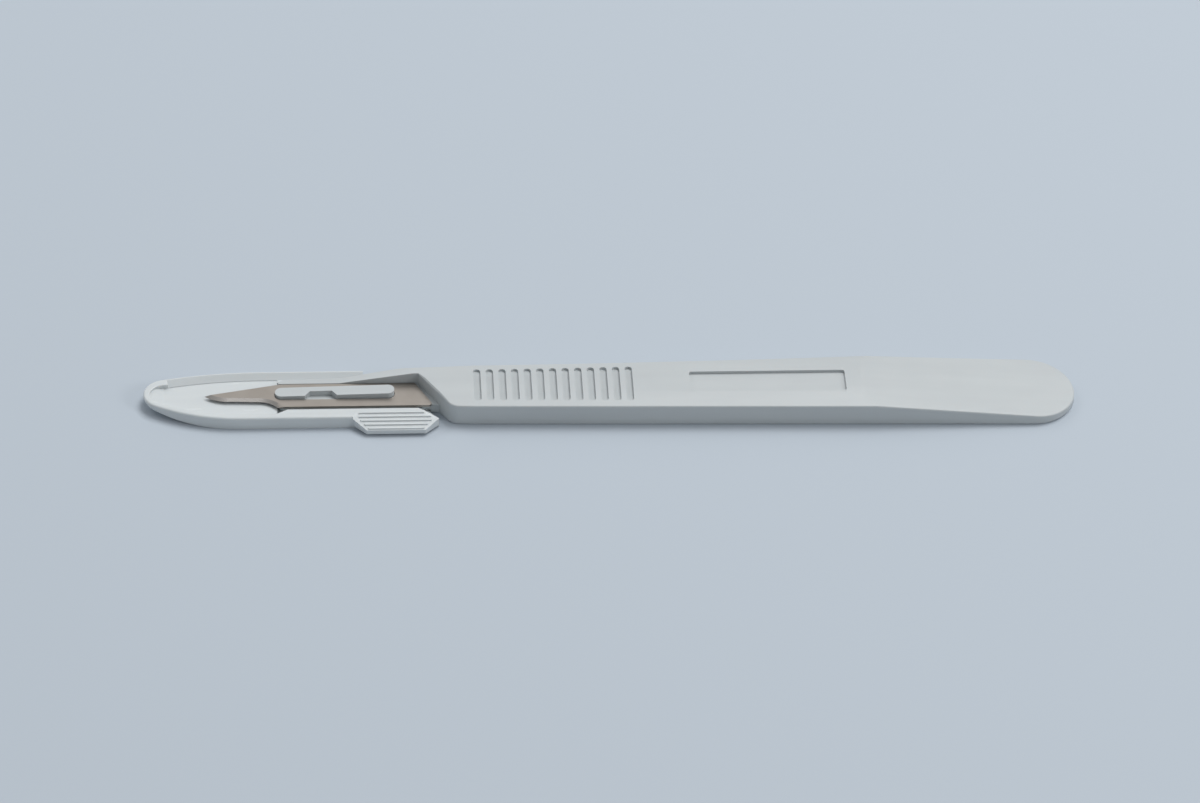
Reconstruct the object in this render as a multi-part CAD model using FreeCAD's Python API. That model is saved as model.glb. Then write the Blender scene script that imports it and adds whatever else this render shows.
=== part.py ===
import FreeCAD, Part
import math
import os

# A disposable scalpel lying on its flat side: a moulded plastic handle, a stainless blade fixed on
# the handle's nose, and a moulded edge guard round the blade. Sizes are in millimetres.
# While it is drawn, X runs from the blade's point to the butt, Y is 0 on the handle's centre line
# and grows towards the spine of the blade, and Z is the height above the surface it lies on.
# Every solid is moved at the end, so that the origin is under the middle of the whole scalpel.

# Blade
blade_length = 37.4
blade_height = 5.5
blade_thickness = 0.4
spine_offset = 2.65
point_offset = 0.1
point_length = 12.2
belly_length = 4.4
belly_depth = 1.3
belly_curve_at = 0.42
belly_curve_depth = 0.76
edge_length = 9.0
edge_fall = 0.2
flare_length = 2.9
flare_curve_at = 0.62
flare_curve_depth = 0.36
bevel_width = 0.75
edge_land = 0.02
heel_angle = 62.0
heel_radius = 0.5
slot_start = 11.4
slot_length = 19.7
slot_height = 2.3
slot_from_spine = 0.8

# Handle. Its length is counted from the shoulder's corner beside the blade's spine.
handle_length = 108.4
butt_radius = 7.15
grip_offset = 9.0
grip_spine_side = 4.95
grip_edge_side = 5.35
spine_hollow_radius = 2000.0
handle_thickness = 4.3
facet_width = 3.25
facet_drop = 0.35
slope_length = 37.4
slope_blend = 60.0
butt_thickness = 1.2
top_edge_round = 0.3
bottom_edge_round = 0.25

# Shoulder, pocket and nose that carry the blade
heel_gap = 0.52
shoulder_angle = 56.5
corner_round = 2.2
shoulder_bevel = 0.25
seat_height = 1.8
spine_gap = 0.15
nose_setback = 0.6
nose_rim = 1.0
nose_overhang = 0.5
nose_round = 1.0
root_land = 1.2
ramp_length = 13.0
boss_gap = 0.08
boss_front_proud = 0.15
boss_rear_proud = 0.45
notch_offset = 4.9
notch_length = 5.4
notch_slant = 0.9
waist_height = 1.05

# Grip grooves and the plain recess
groove_count = 13
groove_offset = 9.6
groove_pitch = 2.08
groove_width = 1.2
groove_depth = 0.6
groove_margin = 1.3
lower_groove_depth = 0.2
recess_gap = 9.95
recess_length = 25.7
recess_width = 5.0
recess_depth = 0.5
recess_offset = -0.3
recess_corner = 0.35

# Edge guard
guard_reach = 10.0
guard_rim_rise = 0.1
guard_floor = 0.6
guard_wall = 1.1
guard_gap = 0.15
tray_blade_gap = 0.3
bow_radius = 3.45
bow_offset = 0.8
bow_rise_start = 3.0
bow_rise_radius = 50.0
spine_side_flat = 9.0
edge_side_flat = 6.0
spine_wall_reach = 2.25
spine_rim = 1.5
spine_rim_lip = 0.4
spine_rim_foot = 0.1
spine_rim_start = -6.3
spine_wall_setback = 9.0
blade_edge_gap = 0.65
ledge_width = 2.25
ledge_start = 11.5
ledge_slant = 2.0
guard_edge_round = 0.35
guard_inner_round = 0.2
tab_overhang = 3.2
tab_length = 14.0
tab_reach_out = 2.05
tab_reach_in = 1.45
tab_slant = 2.2
tab_edge_height = 1.2
tab_lift = 0.4
tab_back_run = 3.5
rib_count = 5
rib_pitch = 0.72
rib_width = 0.34
rib_height = 0.2
rib_margin = 0.9

# Sizes that follow from the ones above
blade_bottom = spine_offset - blade_height
blade_top_z = seat_height + blade_thickness
slot_top = spine_offset - slot_from_spine
slot_bottom = slot_top - slot_height
slot_end = slot_start + slot_length
heel_run = blade_height / math.tan(math.radians(heel_angle))
shoulder_run = 1.0 / math.tan(math.radians(shoulder_angle))
shoulder_x = blade_length - heel_run + heel_gap
handle_end = shoulder_x + handle_length
butt_x = handle_end - butt_radius
grip_x = shoulder_x + grip_offset
slope_start = handle_end - slope_length
facet_z = handle_thickness - facet_drop
pocket_spine = spine_offset + spine_gap
nose_start = slot_start + nose_setback
nose_spine_side = spine_offset + nose_rim
nose_edge_side = blade_bottom + nose_overhang
nose_underside = guard_floor + guard_gap
ramp_start = shoulder_x - ramp_length
notch_start = slot_start + notch_offset
notch_end = notch_start + notch_length
groove_first = shoulder_x + groove_offset
recess_start = groove_first + (groove_count - 1) * groove_pitch + recess_gap
guard_height = blade_top_z + guard_rim_rise
guard_spine_side = nose_spine_side + spine_wall_reach
tray_floor = seat_height - tray_blade_gap
tray_edge_side = blade_bottom - blade_edge_gap
guard_edge_side = ledge_width - tray_edge_side
spine_wall_end = shoulder_x - spine_wall_setback
tab_end = shoulder_x + tab_overhang
tab_start = tab_end - tab_length
tab_back_start = tab_end - tab_back_run
tab_top = guard_edge_side - tab_reach_in
tab_reach = guard_edge_side + tab_reach_out

# Cutting shapes reach this far past what they cut, and these heights clear the whole scalpel
past = 5.0
above = 10.0
below = -2.0


def point(x, y, z=0.0):
    return FreeCAD.Vector(x, y, z)


def line(start, end):
    return Part.LineSegment(start, end).toShape()


def arc(start, middle, end):
    return Part.Arc(start, middle, end).toShape()


def outline(points):
    return Part.makePolygon(points + [points[0]])


def prism(wire, z_low, z_high):
    face = Part.Face(wire)
    face.translate(point(0, 0, z_low))
    return face.extrude(point(0, 0, z_high - z_low))


def slab(points_xz, y_low, y_high):
    # A side profile, given as pairs of x and z, drawn out across the part.
    corners = [point(x, y_low, z) for x, z in points_xz]
    return Part.Face(outline(corners)).extrude(point(0, y_high - y_low, 0))


def corner_arc(before, corner, after, radius):
    # The tangent arc of this radius at a corner between two straight lines.
    to_before = (before - corner).normalize()
    to_after = (after - corner).normalize()
    half = to_before.getAngle(to_after) / 2
    reach = radius / math.tan(half)
    start = corner + to_before * reach
    end = corner + to_after * reach
    inward = (to_before + to_after).normalize()
    centre = corner + inward * (radius / math.sin(half))
    middle = centre - inward * radius
    return start, middle, end


def rounded(points, radii):
    # A closed outline of straight lines, with an arc at each corner that has a radius.
    starts = []
    ends = []
    arcs = []
    count = len(points)
    for index in range(count):
        corner = points[index]
        if radii[index] > 0:
            start, middle, end = corner_arc(points[index - 1], corner, points[(index + 1) % count], radii[index])
            arcs.append(arc(start, middle, end))
        else:
            start = end = corner
            arcs.append(None)
        starts.append(start)
        ends.append(end)
    edges = []
    for index in range(count):
        if arcs[index] is not None:
            edges.append(arcs[index])
        following = starts[(index + 1) % count]
        if ends[index].distanceToPoint(following) > 1e-6:
            edges.append(line(ends[index], following))
    return Part.Wire(edges)


def edges_through(solid, places):
    # The edges of a solid that pass through these places.
    found = []
    for place in places:
        vertex = Part.Vertex(place)
        found += [edge for edge in solid.Edges if edge.distToShape(vertex)[0] < 1e-4]
    return found


def tangent_point(outside, centre, radius, side):
    # Where the line from a point outside a circle touches it; side is +1 or -1.
    away = outside - centre
    angle = math.atan2(away.y, away.x)
    spread = math.acos(radius / away.Length)
    turned = angle + side * spread
    return centre + point(radius * math.cos(turned), radius * math.sin(turned))


def shoulder_at(y, offset=0.0):
    # X on the slanted shoulder line at this Y, moved towards the point by the offset.
    ahead = offset / math.sin(math.radians(shoulder_angle))
    return shoulder_x + (pocket_spine - y) * shoulder_run - ahead


def hollow_centre():
    # Centre of the large arc of the handle's spine side. The arc starts at the grip, and the
    # round butt touches it from the other side.
    grip = point(grip_x, grip_spine_side)
    to_butt = point(butt_x, 0) - grip
    reach = spine_hollow_radius + butt_radius
    along = (spine_hollow_radius ** 2 - reach ** 2 + to_butt.Length ** 2) / (2 * to_butt.Length)
    across = math.sqrt(spine_hollow_radius ** 2 - along ** 2)
    ahead = to_butt.normalize()
    return grip + ahead * along + point(-ahead.y, ahead.x) * across


def spine_arc():
    # The handle's hollow spine side, from the butt to the grip.
    centre = hollow_centre()
    to_butt = (point(butt_x, 0) - centre).normalize()
    to_grip = (point(grip_x, grip_spine_side) - centre).normalize()
    mean = (to_butt + to_grip).normalize()
    return [centre + way * spine_hollow_radius for way in (to_butt, mean, to_grip)]


def handle_side(x, side):
    # Distance from the centre line to the handle's side at this X, +1 on the spine side.
    if side > 0:
        centre = hollow_centre()
        return centre.y - math.sqrt(spine_hollow_radius ** 2 - (x - centre.x) ** 2)
    share = (x - grip_x) / (butt_x - grip_x)
    return grip_edge_side + (butt_radius - grip_edge_side) * share


def nose_side(x):
    # Distance from the centre line to the nose's outer side, on the spine side.
    share = (x - nose_start) / (grip_x - nose_start)
    return nose_spine_side + (grip_spine_side - nose_spine_side) * share


def blade_outline():
    tip = point(0, point_offset)
    belly = point(belly_length, point_offset - belly_depth)
    straight_end = point(edge_length, belly.y - edge_fall)
    flare_end = point(edge_length + flare_length, blade_bottom)
    heel_low = point(blade_length, blade_bottom)
    heel_high = point(blade_length - heel_run, spine_offset)
    spine_end = point(point_length, spine_offset)
    belly_middle = point(belly_length * belly_curve_at, point_offset - belly_depth * belly_curve_depth)
    flare_drop = straight_end.y - blade_bottom
    flare_middle = point(edge_length + flare_length * flare_curve_at,
                         straight_end.y - flare_drop * flare_curve_depth)
    low_start, low_middle, low_end = corner_arc(flare_end, heel_low, heel_high, heel_radius)
    high_start, high_middle, high_end = corner_arc(heel_low, heel_high, spine_end, heel_radius)
    return Part.Wire([
        arc(tip, belly_middle, belly),
        line(belly, straight_end),
        arc(straight_end, flare_middle, flare_end),
        line(flare_end, low_start),
        arc(low_start, low_middle, low_end),
        line(low_end, high_start),
        arc(high_start, high_middle, high_end),
        line(high_end, spine_end),
        line(spine_end, tip),
    ])


def slot_outline(inset=0.0):
    low = slot_bottom + inset
    high = slot_top - inset
    radius = (high - low) / 2
    left = slot_start + inset + radius
    right = slot_end - inset - radius
    middle = (low + high) / 2
    return Part.Wire([
        line(point(left, low), point(right, low)),
        arc(point(right, low), point(right + radius, middle), point(right, high)),
        line(point(right, high), point(left, high)),
        arc(point(left, high), point(left - radius, middle), point(left, low)),
    ])


def is_cutting_edge(edge, z):
    # The ground edge runs along the belly and the straight stretch, on the edge side.
    box = edge.BoundBox
    level = abs(box.ZMin - z) < 1e-4 and abs(box.ZMax - z) < 1e-4
    along = box.XMax < edge_length + 1e-4
    return level and along and box.YMin < point_offset - 0.1


def make_blade():
    low = seat_height
    high = blade_top_z
    blade = prism(blade_outline(), low, high)
    ground = [edge for edge in blade.Edges if is_cutting_edge(edge, low) or is_cutting_edge(edge, high)]
    depth = (blade_thickness - edge_land) / 2
    blade = blade.makeChamfer(depth, bevel_width, ground)
    return blade.cut(prism(slot_outline(), low - past, high + past))


def handle_plan():
    centre = point(butt_x, 0)
    spine_grip = point(grip_x, grip_spine_side)
    edge_grip = point(grip_x, -grip_edge_side)
    spine_touch, spine_middle, spine_end = spine_arc()
    edge_touch = tangent_point(edge_grip, centre, butt_radius, 1)
    root = point(shoulder_at(nose_edge_side), nose_edge_side)
    corner = point(shoulder_at(-handle_side(shoulder_x, -1)), -handle_side(shoulder_x, -1))
    corner_start, corner_middle, corner_end = corner_arc(root, corner, edge_grip, corner_round)
    front_low = point(nose_start, nose_edge_side)
    front_high = point(nose_start, nose_side(nose_start))
    low_start, low_middle, low_end = corner_arc(front_high, front_low, root, nose_round)
    high_start, high_middle, high_end = corner_arc(spine_grip, front_high, front_low, nose_round)
    return Part.Wire([
        arc(low_start, low_middle, low_end),
        line(low_end, root),
        line(root, corner_start),
        arc(corner_start, corner_middle, corner_end),
        line(corner_end, edge_grip),
        line(edge_grip, edge_touch),
        arc(edge_touch, point(handle_end, 0), spine_touch),
        arc(spine_touch, spine_middle, spine_end),
        line(spine_end, high_start),
        arc(high_start, high_middle, high_end),
        line(high_end, low_start),
    ])


def facet_cut(side):
    # A wedge that leaves one shallow facet beside the flat strip on top, along the handle's side.
    start = point(grip_x, side * handle_side(grip_x, side))
    end = point(butt_x, side * handle_side(butt_x, side))
    along = (end - start).normalize()
    start = start - along * 3 * past
    end = end + along * 3 * past
    inward = point(along.y, -along.x) * side
    low_z = facet_z - facet_drop * past / facet_width
    corners = [
        start - inward * past + point(0, 0, low_z),
        start + inward * facet_width + point(0, 0, handle_thickness),
        start + inward * facet_width + point(0, 0, above),
        start - inward * past + point(0, 0, above),
    ]
    return Part.Face(outline(corners)).extrude(end - start)


def butt_slope():
    # What lies above the top face: level, a large blend, then the long slope down to the butt.
    fall = handle_thickness - butt_thickness
    slope = math.atan(fall / (handle_end - slope_start))
    reach = slope_blend * math.tan(slope / 2)
    start = point(slope_start - reach, 0, handle_thickness)
    end = point(slope_start + reach * math.cos(slope), 0, handle_thickness - reach * math.sin(slope))
    half_turn = slope / 2
    middle = point(
        start.x + slope_blend * math.sin(half_turn), 0,
        handle_thickness - slope_blend * (1 - math.cos(half_turn)),
    )
    last = point(handle_end + past, 0, butt_thickness - past * math.tan(slope))
    wire = Part.Wire([
        arc(start, middle, end),
        line(end, last),
        line(last, point(last.x, 0, above)),
        line(point(last.x, 0, above), point(start.x, 0, above)),
        line(point(start.x, 0, above), start),
    ])
    width = 2 * (butt_radius + past)
    face = Part.Face(wire)
    face.translate(point(0, -width / 2, 0))
    return face.extrude(point(0, width, 0))


def blade_pocket():
    # Everything above the blade's seat, ahead of the shoulder and below the spine's rim.
    low_y = -butt_radius - past
    wire = outline([
        point(-past, low_y),
        point(shoulder_at(low_y), low_y),
        point(shoulder_at(pocket_spine), pocket_spine),
        point(-past, pocket_spine),
    ])
    return prism(wire, seat_height, above)


def shoulder_edge():
    # The small bevel along the top of the shoulder.
    low_y = -butt_radius - past
    high = handle_thickness + past
    front = shoulder_x - past
    face = Part.Face(outline([
        point(front, pocket_spine, handle_thickness - shoulder_bevel - past),
        point(shoulder_x + shoulder_bevel + past, pocket_spine, high),
        point(front, pocket_spine, high),
    ]))
    return face.extrude(point(shoulder_at(low_y) - shoulder_x, low_y - pocket_spine, 0))


def rim_slope():
    # The rim beside the spine is level with the blade, then climbs to the full thickness.
    return slab([
        (0, above),
        (0, blade_top_z),
        (ramp_start, blade_top_z),
        (shoulder_x, handle_thickness),
        (shoulder_x, above),
    ], slot_top, butt_radius + past)


def nose_relief(offset):
    # The space under the nose that the guard's floor slides into.
    low_y = -butt_radius - past
    high_y = butt_radius + past
    wire = outline([
        point(-past, low_y),
        point(shoulder_at(low_y, offset), low_y),
        point(shoulder_at(high_y, offset), high_y),
        point(-past, high_y),
    ])
    return prism(wire, below, nose_underside)


def groove(x, z_low, z_high):
    low = -handle_side(x, -1) + groove_margin
    high = handle_side(x, 1) - groove_margin
    radius = groove_width / 2
    wire = Part.Wire([
        line(point(x - radius, high - radius), point(x - radius, low + radius)),
        arc(point(x - radius, low + radius), point(x, low), point(x + radius, low + radius)),
        line(point(x + radius, low + radius), point(x + radius, high - radius)),
        arc(point(x + radius, high - radius), point(x, high), point(x - radius, high - radius)),
    ])
    return prism(wire, z_low, z_high)


def recess():
    low = recess_offset - recess_width / 2
    high = recess_offset + recess_width / 2
    end = recess_start + recess_length
    corners = [point(recess_start, low), point(end, low), point(end, high), point(recess_start, high)]
    return prism(rounded(corners, [recess_corner] * 4), handle_thickness - recess_depth, above)


def boss():
    # Fills the blade's slot, with a notch on the edge side, and its top climbs towards the rear.
    solid = prism(slot_outline(boss_gap), seat_height, above)
    front = blade_top_z + boss_front_proud
    rear = blade_top_z + boss_rear_proud
    roof = slab([(slot_start, front), (slot_end, rear), (slot_end, above + past), (slot_start, above + past)],
                slot_bottom - past, slot_top + past)
    notch_top = slot_top - boss_gap - waist_height
    notch = prism(outline([
        point(notch_start, slot_bottom),
        point(notch_end, slot_bottom),
        point(notch_end - notch_slant, notch_top),
        point(notch_start + notch_slant, notch_top),
    ]), seat_height, above)
    return solid.cut(roof).cut(notch)


def outer_distance(place):
    # How far a place lies from the handle's outer wall, behind the shoulder, seen from above.
    side = 1 if place.y > 0 else -1
    if place.x > butt_x:
        return abs(math.hypot(place.x - butt_x, place.y) - butt_radius)
    return abs(abs(place.y) - handle_side(place.x, side))


def outer_edges(solid, on_top):
    # The edges between that wall and the top face, or the underside, for rounding.
    found = []
    for edge in solid.Edges:
        middle = edge.valueAt((edge.FirstParameter + edge.LastParameter) / 2)
        upright = edge.BoundBox.ZLength > butt_thickness * 0.7 and edge.BoundBox.XLength < 0.1
        if upright or middle.x < grip_x - corner_round * 2 or outer_distance(middle) > 0.3:
            continue
        if on_top == (middle.z > butt_thickness / 2):
            found.append(edge)
    return found


def make_handle():
    body = prism(handle_plan(), 0, handle_thickness)
    body = body.cut(facet_cut(1)).cut(facet_cut(-1)).cut(butt_slope())
    body = body.makeFillet(top_edge_round, outer_edges(body, True))
    body = body.makeFillet(bottom_edge_round, outer_edges(body, False))
    body = body.cut(blade_pocket()).cut(shoulder_edge()).cut(rim_slope()).cut(nose_relief(root_land))
    for index in range(groove_count):
        x = groove_first + index * groove_pitch
        body = body.cut(groove(x, handle_thickness - groove_depth, above))
        body = body.cut(groove(x, below, lower_groove_depth))
    body = body.cut(recess())
    return body.fuse(boss()).removeSplitter()


def side_radius(flat_x, flat_y, side):
    # Radius of the arc that touches both the bow's circle and a straight side.
    run = flat_x - bow_radius + guard_reach
    rise = flat_y - side * bow_offset
    return (run * run + rise * rise - bow_radius * bow_radius) / (2 * (rise - bow_radius))


def side_arc(flat_x, flat_y, side, inset=0.0):
    # The long arc that runs from the bow's circle to a straight side, tangent to both.
    # side is +1 towards the spine; inset gives the same arc inside the guard's wall.
    radius = side_radius(flat_x, flat_y, side)
    centre = point(flat_x, side * (flat_y - radius))
    bow_centre = point(bow_radius - guard_reach, bow_offset)
    away = (bow_centre - centre).normalize()
    touch = bow_centre + away * (bow_radius - inset)
    flat = point(flat_x, side * (flat_y - inset))
    mean = ((touch - centre).normalize() + (flat - centre).normalize()).normalize()
    return touch, centre + mean * (radius - inset), flat


def bow_tip(inset):
    return point(inset - guard_reach, bow_offset)


def guard_plan():
    spine_touch, spine_middle, spine_flat = side_arc(spine_side_flat, guard_spine_side, 1)
    edge_touch, edge_middle, edge_flat = side_arc(edge_side_flat, guard_edge_side, -1)
    floor_offset = root_land + 2 * guard_gap
    wall_end = point(spine_wall_end, guard_spine_side)
    inner_end = point(spine_wall_end, nose_side(spine_wall_end))
    floor_spine = point(shoulder_at(nose_side(shoulder_x), floor_offset), nose_side(spine_wall_end))
    floor_edge = point(shoulder_at(-tab_top, floor_offset), -tab_top)
    return Part.Wire([
        arc(edge_touch, bow_tip(0), spine_touch),
        arc(spine_touch, spine_middle, spine_flat),
        line(spine_flat, wall_end),
        line(wall_end, inner_end),
        line(inner_end, floor_spine),
        line(floor_spine, floor_edge),
        line(floor_edge, point(tab_end, -guard_edge_side)),
        line(point(tab_end, -guard_edge_side), point(tab_end - tab_slant, -tab_reach)),
        line(point(tab_end - tab_slant, -tab_reach), point(tab_start + tab_slant, -tab_reach)),
        line(point(tab_start + tab_slant, -tab_reach), point(tab_start, -guard_edge_side)),
        line(point(tab_start, -guard_edge_side), edge_flat),
        arc(edge_flat, edge_middle, edge_touch),
    ])


def bow_profile(rise):
    # All that lies higher than this above the guard's underside, which curves up at the bow.
    radius = bow_rise_radius - rise
    centre_z = bow_rise_radius
    front = -guard_reach - past
    depth = front - bow_rise_start
    front_z = centre_z - math.sqrt(radius * radius - depth * depth)
    half = math.asin(-depth / radius) / 2
    side = -tab_reach - past
    rear = tab_end + past
    high = above + rise
    middle = point(bow_rise_start - radius * math.sin(half), side, centre_z - radius * math.cos(half))
    flat = point(bow_rise_start, side, rise)
    wire = Part.Wire([
        arc(flat, middle, point(front, side, front_z)),
        line(point(front, side, front_z), point(front, side, high)),
        line(point(front, side, high), point(rear, side, high)),
        line(point(rear, side, high), point(rear, side, rise)),
        line(point(rear, side, rise), flat),
    ])
    return Part.Face(wire).extrude(point(0, guard_spine_side - side + past, 0))


def guard_pocket():
    # The tray that the blade and the nose lie in. It follows the nose on the spine side and the
    # blade's edge on the other, and it is open at the rear.
    spine_touch, spine_middle, spine_flat = side_arc(spine_side_flat, guard_spine_side, 1, spine_rim)
    edge_touch, edge_middle, edge_flat = side_arc(edge_side_flat, guard_edge_side, -1, guard_wall)
    nest = nose_start - guard_gap
    rear = shoulder_x + 2 * past
    slant_end = point(tab_end, -guard_edge_side)
    wire = Part.Wire([
        arc(edge_touch, bow_tip(guard_wall), spine_touch),
        arc(spine_touch, spine_middle, spine_flat),
        line(spine_flat, point(nest, spine_flat.y)),
        line(point(nest, spine_flat.y), point(nest, nose_side(nest) + guard_gap)),
        line(point(nest, nose_side(nest) + guard_gap), point(rear, nose_side(rear) + guard_gap)),
        line(point(rear, nose_side(rear) + guard_gap), point(rear, slant_end.y)),
        line(point(rear, slant_end.y), slant_end),
        line(slant_end, point(tab_back_start, tray_edge_side)),
        line(point(tab_back_start, tray_edge_side), point(ledge_start + ledge_slant, tray_edge_side)),
        line(point(ledge_start + ledge_slant, tray_edge_side), point(ledge_start, edge_flat.y)),
        line(point(ledge_start, edge_flat.y), edge_flat),
        arc(edge_flat, edge_middle, edge_touch),
    ])
    high_floor = prism(outline([
        point(-guard_reach - past, -tab_reach),
        point(nest, -tab_reach),
        point(nest, guard_spine_side),
        point(-guard_reach - past, guard_spine_side),
    ]), below, tray_floor)
    return prism(wire, below, above).common(bow_profile(guard_floor)).cut(high_floor)


def spine_rim_slope():
    # What lies above the spine side's rim, which slopes down into the tray behind the bow.
    radius = side_radius(spine_side_flat, guard_spine_side, 1)
    lip_y = guard_spine_side - spine_rim_lip
    foot_y = guard_spine_side - spine_rim
    foot_z = tray_floor + spine_rim_foot
    face = Part.Face(outline([
        point(spine_side_flat, lip_y, guard_height),
        point(spine_side_flat, lip_y, above),
        point(spine_side_flat, spine_offset, above),
        point(spine_side_flat, spine_offset, foot_z),
        point(spine_side_flat, foot_y, foot_z),
    ]))
    sweep = math.degrees(math.asin((spine_side_flat - spine_rim_start) / radius))
    curved = face.revolve(point(spine_side_flat, guard_spine_side - radius), point(0, 0, 1), sweep)
    straight = face.extrude(point(spine_wall_end + past - spine_side_flat, 0, 0))
    return curved.fuse(straight)


def tab_underside():
    # What lies under the thumb tab, which stands clear of the table.
    wire = outline([
        point(tab_start - past, -tab_reach - past),
        point(tab_end + past, -tab_reach - past),
        point(tab_end + past, -guard_edge_side),
        point(tab_start - past, -guard_edge_side),
    ])
    return prism(wire, below, tab_lift)


def tab_height(y):
    # Height of the thumb tab's sloping face at this Y.
    share = (-tab_top - y) / (tab_reach - tab_top)
    return guard_height - (guard_height - tab_edge_height) * share


def tab_slope():
    # What lies above the thumb tab's sloping face.
    out = -tab_reach - past
    face = Part.Face(outline([
        point(tab_start, -tab_top, guard_height),
        point(tab_start, out, tab_height(out)),
        point(tab_start, out, above),
        point(tab_start, -tab_top, above),
    ]))
    return face.extrude(point(tab_end + past - tab_start, 0, 0))


def tab_ribs():
    # Straight ribs along the tab, stepped down the slope, each cut off at the tab's slanted ends.
    ribs = []
    slope = (guard_height - tab_edge_height) / (tab_reach - tab_top)
    inner = outline([
        point(tab_start + rib_margin, -tab_top),
        point(tab_start + rib_margin, -guard_edge_side),
        point(tab_start + tab_slant + rib_margin / 2, -tab_reach),
        point(tab_end - tab_slant - rib_margin / 2, -tab_reach),
        point(tab_end - rib_margin, -guard_edge_side),
        point(tab_end - rib_margin - tab_slant, -tab_top),
    ])
    room = prism(inner, 0, above)
    for index in range(rib_count):
        y = -tab_top - rib_pitch * (index + 0.5)
        base = tab_height(y) - slope * rib_width
        ridge = Part.Face(outline([
            point(tab_start, y + rib_width / 2, base - rib_height),
            point(tab_start, y - rib_width / 2, base - rib_height),
            point(tab_start, y - rib_width / 4, tab_height(y) + rib_height),
            point(tab_start, y + rib_width / 4, tab_height(y) + rib_height),
        ])).extrude(point(tab_end - tab_start, 0, 0))
        ribs.append(ridge.common(room))
    return ribs


def at_rim(place):
    return point(place.x, place.y, guard_height)


def outer_rim_points():
    # One point on each edge of the guard's rim, on the outside and at its full height.
    rim = []
    for flat_x, flat_y, side, end_x in (
        (spine_side_flat, guard_spine_side, 1, spine_wall_end),
        (edge_side_flat, guard_edge_side, -1, tab_start),
    ):
        touch, middle, flat = side_arc(flat_x, flat_y, side)
        rim.append(middle)
        rim.append((flat + point(end_x, flat.y)) * 0.5)
    rim.append(bow_tip(0))
    return [at_rim(place) for place in rim]


def inner_rim_points():
    # One point on each edge of the tray's mouth, from the bow along the edge side to the tab.
    edge_touch, edge_middle, edge_flat = side_arc(edge_side_flat, guard_edge_side, -1, guard_wall)
    ledge_end = ledge_start + ledge_slant
    return [at_rim(place) for place in (
        bow_tip(guard_wall),
        edge_middle,
        (edge_flat + point(ledge_start, edge_flat.y)) * 0.5,
        (point(ledge_start, edge_flat.y) + point(ledge_end, tray_edge_side)) * 0.5,
        point((ledge_end + tab_start) / 2, tray_edge_side),
    )]


def make_guard():
    body = prism(guard_plan(), below, guard_height)
    body = body.common(bow_profile(0))
    body = body.makeFillet(guard_edge_round, edges_through(body, outer_rim_points()))
    body = body.cut(guard_pocket())
    body = body.cut(tab_slope())
    body = body.makeFillet(guard_inner_round, edges_through(body, inner_rim_points()))
    body = body.cut(spine_rim_slope())
    body = body.cut(tab_underside())
    for rib in tab_ribs():
        body = body.fuse(rib)
    return body.removeSplitter()


def write(name, solid, place):
    solid = solid.copy()
    solid.translate(place)
    solid.exportStep(os.path.join("parts", name + ".step"))


def main():
    low_y = -max(butt_radius, tab_reach)
    high_y = max(butt_radius, guard_spine_side)
    place = point((guard_reach - handle_end) / 2, -(low_y + high_y) / 2)
    os.makedirs("parts", exist_ok=True)
    write("handle", make_handle(), place)
    write("blade", make_blade(), place)
    write("blade_guard", make_guard(), place)


main()
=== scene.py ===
import math

import bmesh
import bpy
from mathutils import Matrix, Vector


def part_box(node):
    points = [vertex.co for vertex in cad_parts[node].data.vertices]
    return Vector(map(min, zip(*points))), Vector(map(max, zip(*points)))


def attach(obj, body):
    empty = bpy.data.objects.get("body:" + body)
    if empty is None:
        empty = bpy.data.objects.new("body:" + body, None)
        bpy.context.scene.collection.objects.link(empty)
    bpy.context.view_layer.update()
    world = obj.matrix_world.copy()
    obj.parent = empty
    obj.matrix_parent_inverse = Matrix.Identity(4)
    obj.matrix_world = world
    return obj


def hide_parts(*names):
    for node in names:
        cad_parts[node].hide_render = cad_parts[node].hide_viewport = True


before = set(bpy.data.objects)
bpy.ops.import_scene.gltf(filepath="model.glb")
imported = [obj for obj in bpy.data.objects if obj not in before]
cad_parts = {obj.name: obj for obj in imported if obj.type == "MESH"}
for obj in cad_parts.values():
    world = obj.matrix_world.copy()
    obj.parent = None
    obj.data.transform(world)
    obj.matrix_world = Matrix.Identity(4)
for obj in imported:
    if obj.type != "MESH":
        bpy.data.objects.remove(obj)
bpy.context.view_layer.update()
blade_low, blade_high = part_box("blade")

MM = 0.001

# Camera. It stands where the photographer stood, looks at the middle of the scalpel and is turned
# about its own axis by the same small roll.
CAMERA_PLACE = Vector((-52.97, -638.57, 567.56)) * MM
CAMERA_AIM = Vector((-2.0, -2.0, 2.0)) * MM
CAMERA_ROLL = 2.29
CAMERA_LENS = 156.0
CAMERA_SENSOR = 36.0

# Half the width of the table, in metres
TABLE_REACH = 4.0

# Finish of the mouldings
MOULD_RADIUS = 0.06 * MM
MOULD_SEGMENTS = 2

# What counts as a sharp edge and as one plane, in degrees, and as one point
SHARP_ANGLE = 24.0
SAME_PLANE = 0.4
SAME_POINT = 0.0005 * MM

# How far the ground edge runs back from the blade's point, and between which upward parts of a
# face's direction the face is ground: it is neither upright nor flat. These faces get the steel painted
# darker, as painted shade for the edge's dark reflection.
GROUND_LENGTH = 12.0 * MM
GROUND_STEEPEST = 0.2
GROUND_FLATTEST = 0.995

# The room that holds the boss and the slot in the solids: along from the blade's point, across in
# the frame, and from a little under the blade upwards. Above BOSS_CLEAR only the boss's top is left.
BOSS_START = blade_low[0] + 11.3 * MM
BOSS_END = blade_low[0] + 31.2 * MM
BOSS_EDGE_SIDE = -0.2 * MM
BOSS_MIDDLE = 1.0 * MM
BOSS_SPINE_SIDE = 2.3 * MM
BOSS_FOOT = blade_low[2] - 0.1 * MM
BOSS_CLEAR = blade_high[2] + 0.05 * MM
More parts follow.
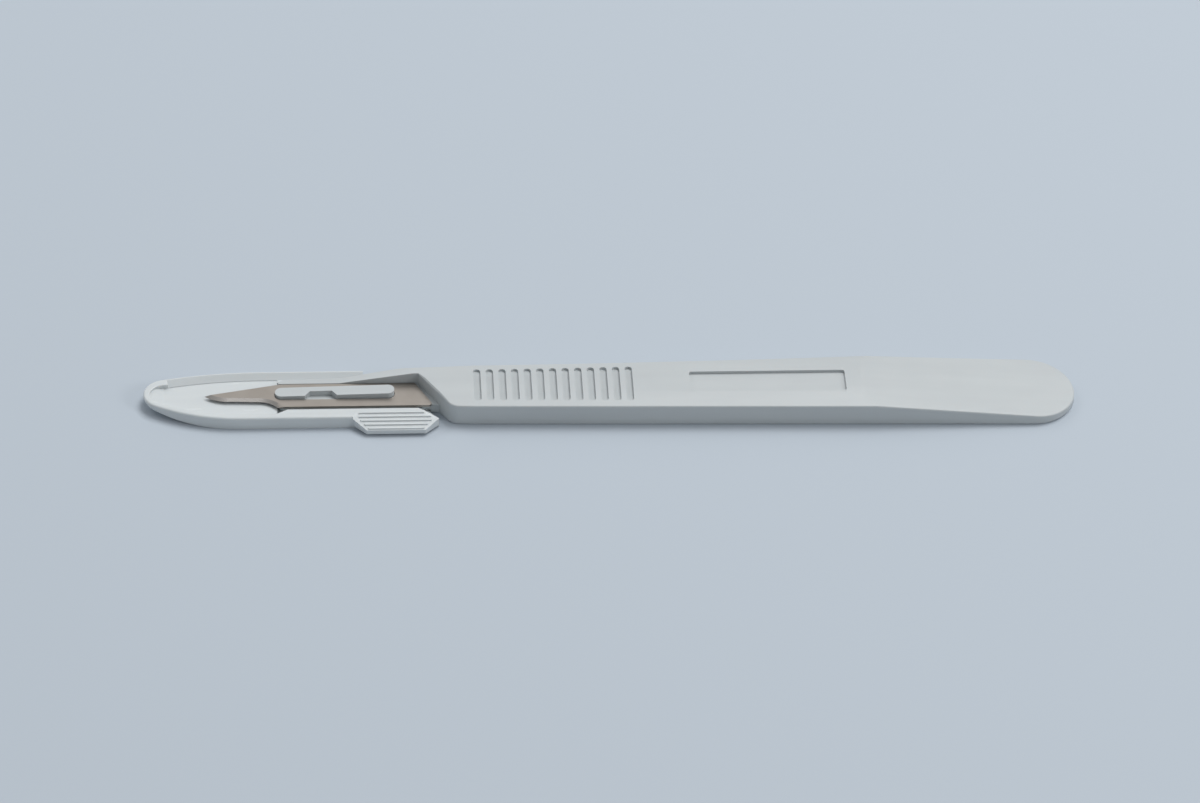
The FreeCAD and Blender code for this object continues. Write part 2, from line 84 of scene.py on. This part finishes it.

# How the boss and the slot differ from the solids, in this scene alone. The photograph reads as a
# boss that stands higher than the solid one, with its foot nearer to the blade's edge. These
# lengths are fitted to the picture, not measured.
BOSS_SHIFT = 0.45 * MM
FRONT_LIFT = 0.3 * MM
REAR_LIFT = 0.45 * MM
SLOT_SPARE = 0.2 * MM

# Room light on the scalpel, and the level at which the camera sees it
ROOM_LIGHT = 0.33
ROOM_SEEN = 0.64


def hex_colour(text):
    # An sRGB hex value as the linear colour that a shader takes.
    channels = [int(text[i:i + 2], 16) / 255 for i in (1, 3, 5)]
    linear = [c / 12.92 if c <= 0.04045 else ((c + 0.055) / 1.055) ** 2.4 for c in channels]
    return (*linear, 1.0)


def node(tree, kind, inputs=None, **settings):
    # Adds one node; an input is either a plain value or the socket that feeds it.
    made = tree.nodes.new(kind)
    for key, value in settings.items():
        setattr(made, key, value)
    for key, value in (inputs or {}).items():
        if isinstance(value, bpy.types.NodeSocket):
            tree.links.new(value, made.inputs[key])
        else:
            made.inputs[key].default_value = value
    return made


def new_material(name):
    # An empty material with its tree, the object's own coordinates and its output.
    material = bpy.data.materials.new(name)
    material.use_nodes = True
    tree = material.node_tree
    tree.nodes.clear()
    place = node(tree, "ShaderNodeTexCoord").outputs["Object"]
    output = node(tree, "ShaderNodeOutputMaterial")
    return material, tree, place, output


def spark_eroded_abs():
    # ABS, injection moulded in a spark-eroded steel mould. A fine matt grain breaks up the gloss,
    # and the melt leaves very faint streaks along the length.
    material, tree, place, output = new_material("spark_eroded_abs")
    grain_mm = 0.16
    flow_mm = (26.0, 3.2, 3.2)
    cloud_mm = 4.0
    grain = node(tree, "ShaderNodeTexNoise", {
        "Vector": place, "Scale": 1 / (grain_mm * MM), "Detail": 3.0, "Roughness": 0.6,
    })
    stretched = node(tree, "ShaderNodeMapping", {
        "Vector": place, "Scale": [1 / (size * MM) for size in flow_mm],
    })
    flow = node(tree, "ShaderNodeTexNoise", {
        "Vector": stretched.outputs["Vector"], "Scale": 1.0, "Detail": 4.0, "Roughness": 0.55,
    })
    cloud = node(tree, "ShaderNodeTexNoise", {
        "Vector": place, "Scale": 1 / (cloud_mm * MM), "Detail": 2.0,
    })
    colour = node(tree, "ShaderNodeMix", {
        "Factor": flow.outputs["Fac"],
        "A": hex_colour("#B9BEC0"), "B": hex_colour("#C4C9CA"),
    }, data_type="RGBA")
    gloss = node(tree, "ShaderNodeMapRange", {
        "Value": cloud.outputs["Fac"], "From Min": 0.3, "From Max": 0.7, "To Min": 0.36, "To Max": 0.45,
    })
    bump = node(tree, "ShaderNodeBump", {
        "Height": grain.outputs["Fac"], "Strength": 0.35, "Distance": 0.012 * MM,
    })
    surface = node(tree, "ShaderNodeBsdfPrincipled", {
        "Base Color": colour.outputs["Result"], "Roughness": gloss.outputs["Result"],
        "IOR": 1.54, "Normal": bump.outputs["Normal"],
        "Subsurface Weight": 0.12, "Subsurface Radius": (1.0, 0.8, 0.7), "Subsurface Scale": 0.6 * MM,
    })
    tree.links.new(surface.outputs["BSDF"], output.inputs["Surface"])
    return material


def stoned_polypropylene():
    # Polypropylene, injection moulded against stoned steel: smoother and a little more waxy and
    # translucent than the handle, so its rims catch the light.
    material, tree, place, output = new_material("stoned_polypropylene")
    grain_mm = 0.3
    flow_mm = (14.0, 2.4, 2.4)
    grain = node(tree, "ShaderNodeTexNoise", {
        "Vector": place, "Scale": 1 / (grain_mm * MM), "Detail": 3.0,
    })
    stretched = node(tree, "ShaderNodeMapping", {
        "Vector": place, "Scale": [1 / (size * MM) for size in flow_mm],
    })
    flow = node(tree, "ShaderNodeTexNoise", {
        "Vector": stretched.outputs["Vector"], "Scale": 1.0, "Detail": 4.0,
    })
    colour = node(tree, "ShaderNodeMix", {
        "Factor": flow.outputs["Fac"],
        "A": hex_colour("#CBD0D2"), "B": hex_colour("#D6DBDC"),
    }, data_type="RGBA")
    gloss = node(tree, "ShaderNodeMapRange", {
        "Value": flow.outputs["Fac"], "From Min": 0.3, "From Max": 0.7, "To Min": 0.2, "To Max": 0.28,
    })
    bump = node(tree, "ShaderNodeBump", {
        "Height": grain.outputs["Fac"], "Strength": 0.25, "Distance": 0.012 * MM,
    })
    surface = node(tree, "ShaderNodeBsdfPrincipled", {
        "Base Color": colour.outputs["Result"], "Roughness": gloss.outputs["Result"],
        "IOR": 1.49, "Normal": bump.outputs["Normal"],
        "Subsurface Weight": 0.2, "Subsurface Radius": (1.0, 0.9, 0.8), "Subsurface Scale": 0.8 * MM,
    })
    tree.links.new(surface.outputs["BSDF"], output.inputs["Surface"])
    return material


def rolled_stainless():
    # Cold-rolled hardened stainless strip: fine lines along the strip and a thin oil film, which
    # make it a warm satin grey.
    material, tree, place, output = new_material("rolled_stainless")
    line_mm = (9.0, 0.07, 1.0)
    film_mm = 3.0
    stretched = node(tree, "ShaderNodeMapping", {
        "Vector": place, "Scale": [1 / (size * MM) for size in line_mm],
    })
    lines = node(tree, "ShaderNodeTexNoise", {
        "Vector": stretched.outputs["Vector"], "Scale": 1.0, "Detail": 4.0, "Roughness": 0.7,
    })
    film = node(tree, "ShaderNodeTexNoise", {
        "Vector": place, "Scale": 1 / (film_mm * MM), "Detail": 3.0,
    })
    colour = node(tree, "ShaderNodeMix", {
        "Factor": film.outputs["Fac"],
        "A": hex_colour("#9D968E"), "B": hex_colour("#ACA59E"),
    }, data_type="RGBA")
    gloss = node(tree, "ShaderNodeMapRange", {
        "Value": lines.outputs["Fac"], "From Min": 0.3, "From Max": 0.7, "To Min": 0.28, "To Max": 0.4,
    })
    bump = node(tree, "ShaderNodeBump", {
        "Height": lines.outputs["Fac"], "Strength": 0.3, "Distance": 0.004 * MM,
    })
    surface = node(tree, "ShaderNodeBsdfPrincipled", {
        "Base Color": colour.outputs["Result"], "Roughness": gloss.outputs["Result"],
        "Metallic": 1.0, "Normal": bump.outputs["Normal"],
    })
    tree.links.new(surface.outputs["BSDF"], output.inputs["Surface"])
    return material


def ground_steel_painted_shade():
    # The ground and honed edge: steel with grinding lines square to the edge, its colour painted darker
    # than the rolled faces as painted shade for the dark reflection the tilted edge shows.
    material, tree, place, output = new_material("ground_steel_painted_shade")
    line_mm = (0.09, 2.5, 2.5)
    stretched = node(tree, "ShaderNodeMapping", {
        "Vector": place, "Scale": [1 / (size * MM) for size in line_mm],
    })
    lines = node(tree, "ShaderNodeTexNoise", {
        "Vector": stretched.outputs["Vector"], "Scale": 1.0, "Detail": 3.0, "Roughness": 0.65,
    })
    gloss = node(tree, "ShaderNodeMapRange", {
        "Value": lines.outputs["Fac"], "From Min": 0.3, "From Max": 0.7, "To Min": 0.34, "To Max": 0.46,
    })
    bump = node(tree, "ShaderNodeBump", {
        "Height": lines.outputs["Fac"], "Strength": 0.4, "Distance": 0.005 * MM,
    })
    surface = node(tree, "ShaderNodeBsdfPrincipled", {
        # The darker base colour is painted shade: the ground edge's dark reflection painted into the
        # steel's colour.
        "Base Color": hex_colour("#8C8986"), "Roughness": gloss.outputs["Result"],
        "Metallic": 1.0, "Normal": bump.outputs["Normal"],
    })
    tree.links.new(surface.outputs["BSDF"], output.inputs["Surface"])
    return material


def matt_table():
    # A plain pale matt table top.
    material, tree, _, output = new_material("matt_table")
    surface = node(tree, "ShaderNodeBsdfPrincipled", {
        "Base Color": hex_colour("#BCC5CE"), "Roughness": 0.9, "Specular IOR Level": 0.2,
    })
    tree.links.new(surface.outputs["BSDF"], output.inputs["Surface"])
    return material


def merged_copy(source, name):
    # A closed copy of a node's mesh, with the flat faces made whole again.
    shape = bmesh.new()
    shape.from_mesh(source.data)
    bmesh.ops.remove_doubles(shape, verts=shape.verts, dist=SAME_POINT)
    bmesh.ops.dissolve_limit(
        shape, angle_limit=math.radians(SAME_PLANE), verts=shape.verts, edges=shape.edges,
    )
    for face in shape.faces:
        face.smooth = True
        face.material_index = 0
    mesh = bpy.data.meshes.new(name)
    shape.to_mesh(mesh)
    shape.free()
    piece = bpy.data.objects.new(name, mesh)
    bpy.context.scene.collection.objects.link(piece)
    return piece


def applied(piece):
    # Turns what the modifiers make into a plain mesh.
    evaluated = piece.evaluated_get(bpy.context.evaluated_depsgraph_get())
    mesh = bpy.data.meshes.new_from_object(evaluated)
    piece.modifiers.clear()
    piece.data = mesh
    mesh.name = piece.name


def round_edges(piece):
    # The small radius that every edge of a moulding has, and even shading of the flat faces.
    bevel = piece.modifiers.new("mould radius", "BEVEL")
    bevel.width = MOULD_RADIUS
    bevel.segments = MOULD_SEGMENTS
    bevel.limit_method = "ANGLE"
    bevel.angle_limit = math.radians(SHARP_ANGLE)
    bevel.use_clamp_overlap = True
    even = piece.modifiers.new("even shading", "WEIGHTED_NORMAL")
    even.keep_sharp = True
    even.weight = 80
    applied(piece)


def dressed(node_name, piece_name, body, material):
    # A finished piece that stands for a node, on the same body and in the same place.
    piece = merged_copy(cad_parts[node_name], piece_name)
    piece.data.materials.clear()
    piece.data.materials.append(material)
    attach(piece, body)
    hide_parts(node_name)
    return piece


def move_boss(piece, spare=0.0):
    # Moves the boss, or the slot round it, towards the blade's edge, and raises the boss's top. The
    # solids keep their own boss and slot.
    for vertex in piece.data.vertices:
        x, y, z = vertex.co
        along = BOSS_START < x < BOSS_END
        across = BOSS_EDGE_SIDE < y < BOSS_SPINE_SIDE
        if not along or not across or z < BOSS_FOOT:
            continue
        share = (x - BOSS_START) / (BOSS_END - BOSS_START)
        if z > BOSS_CLEAR:
            z += FRONT_LIFT + (REAR_LIFT - FRONT_LIFT) * share
        if y < BOSS_MIDDLE:
            y -= spare
        vertex.co = (x, y - BOSS_SHIFT, z)


def make_handle():
    # The handle moulding, with the boss that fills the blade's slot.
    piece = dressed("handle", "handle_moulding", "handle", spark_eroded_abs())
    move_boss(piece)
    round_edges(piece)


def make_guard():
    # The edge guard, which slides off forwards.
    piece = dressed("blade_guard", "guard_moulding", "guard", stoned_polypropylene())
    round_edges(piece)


def make_blade():
    # The punched blade: rolled faces, a ground edge in front whose steel is painted darker as shade,
    # and crisp edges all round.
    piece = dressed("blade", "ground_blade", "handle", rolled_stainless())
    # The ground faces take a steel painted darker, as painted shade for the edge's dark reflection.
    piece.data.materials.append(ground_steel_painted_shade())
    move_boss(piece, SLOT_SPARE)
    ground_end = blade_low[0] + GROUND_LENGTH
    for face in piece.data.polygons:
        tilted = GROUND_STEEPEST < abs(face.normal.z) < GROUND_FLATTEST
        if tilted and face.center.x < ground_end:
            face.material_index = 1
    edges = piece.modifiers.new("crisp edges", "EDGE_SPLIT")
    edges.split_angle = math.radians(SHARP_ANGLE / 2)
    applied(piece)


def make_stage():
    # A plain table that the scalpel lies on.
    reach = TABLE_REACH
    corners = [(-reach, -reach, 0), (reach, -reach, 0), (reach, reach, 0), (-reach, reach, 0)]
    mesh = bpy.data.meshes.new("table_top")
    mesh.from_pydata(corners, [], [(0, 1, 2, 3)])
    mesh.materials.append(matt_table())
    table = bpy.data.objects.new("table_top", mesh)
    bpy.context.scene.collection.objects.link(table)


def area_lamp(name, place, size, power):
    # A soft white square lamp that looks at the scalpel. Metres and watts.
    lamp = bpy.data.lights.new(name, "AREA")
    lamp.shape = "SQUARE"
    lamp.size = size
    lamp.energy = power
    holder = bpy.data.objects.new(name, lamp)
    holder.location = place
    holder.rotation_mode = "QUATERNION"
    holder.rotation_quaternion = (-Vector(place)).to_track_quat("-Z", "Y")
    bpy.context.scene.collection.objects.link(holder)


def make_room():
    # An even room light. The camera sees the room behind the table in the tone of the table.
    world = bpy.data.worlds.new("room")
    world.use_nodes = True
    tree = world.node_tree
    tree.nodes.clear()
    seen = node(tree, "ShaderNodeLightPath").outputs["Is Camera Ray"]
    strength = node(tree, "ShaderNodeMapRange", {
        "Value": seen, "To Min": ROOM_LIGHT, "To Max": ROOM_SEEN,
    })
    background = node(tree, "ShaderNodeBackground", {
        "Color": hex_colour("#F0F4F8"), "Strength": strength.outputs["Result"],
    })
    node(tree, "ShaderNodeOutputWorld", {"Surface": background.outputs["Background"]})
    bpy.context.scene.world = world


def make_lights():
    # One main light from above and behind, and four weaker ones round it.
    area_lamp("key_softbox", (0.4, 0.42, 1.2), 0.7, 11.0)
    area_lamp("left_softbox", (-0.85, 0.7, 0.8), 0.5, 1.6)
    area_lamp("right_softbox", (0.95, -0.5, 0.6), 0.3, 2.4)
    area_lamp("back_softbox", (-0.4, 1.25, 1.0), 1.2, 2.4)
    area_lamp("low_window", (-1.0, -0.25, 0.6), 0.15, 0.5)


def make_camera():
    # A long lens from the photographer's place.
    data = bpy.data.cameras.new("camera")
    data.lens = CAMERA_LENS
    data.sensor_width = CAMERA_SENSOR
    data.clip_start = 0.01
    data.clip_end = 20.0
    camera = bpy.data.objects.new("camera", data)
    look = (CAMERA_AIM - CAMERA_PLACE).to_track_quat("-Z", "Y").to_matrix()
    roll = Matrix.Rotation(math.radians(CAMERA_ROLL), 3, "Z")
    camera.rotation_mode = "QUATERNION"
    camera.rotation_quaternion = (look @ roll).to_quaternion()
    camera.location = CAMERA_PLACE
    bpy.context.scene.collection.objects.link(camera)
    bpy.context.scene.camera = camera


make_handle()
make_guard()
make_blade()
make_stage()
make_room()
make_lights()
make_camera()
bpy.context.scene.view_settings.view_transform = "Standard"
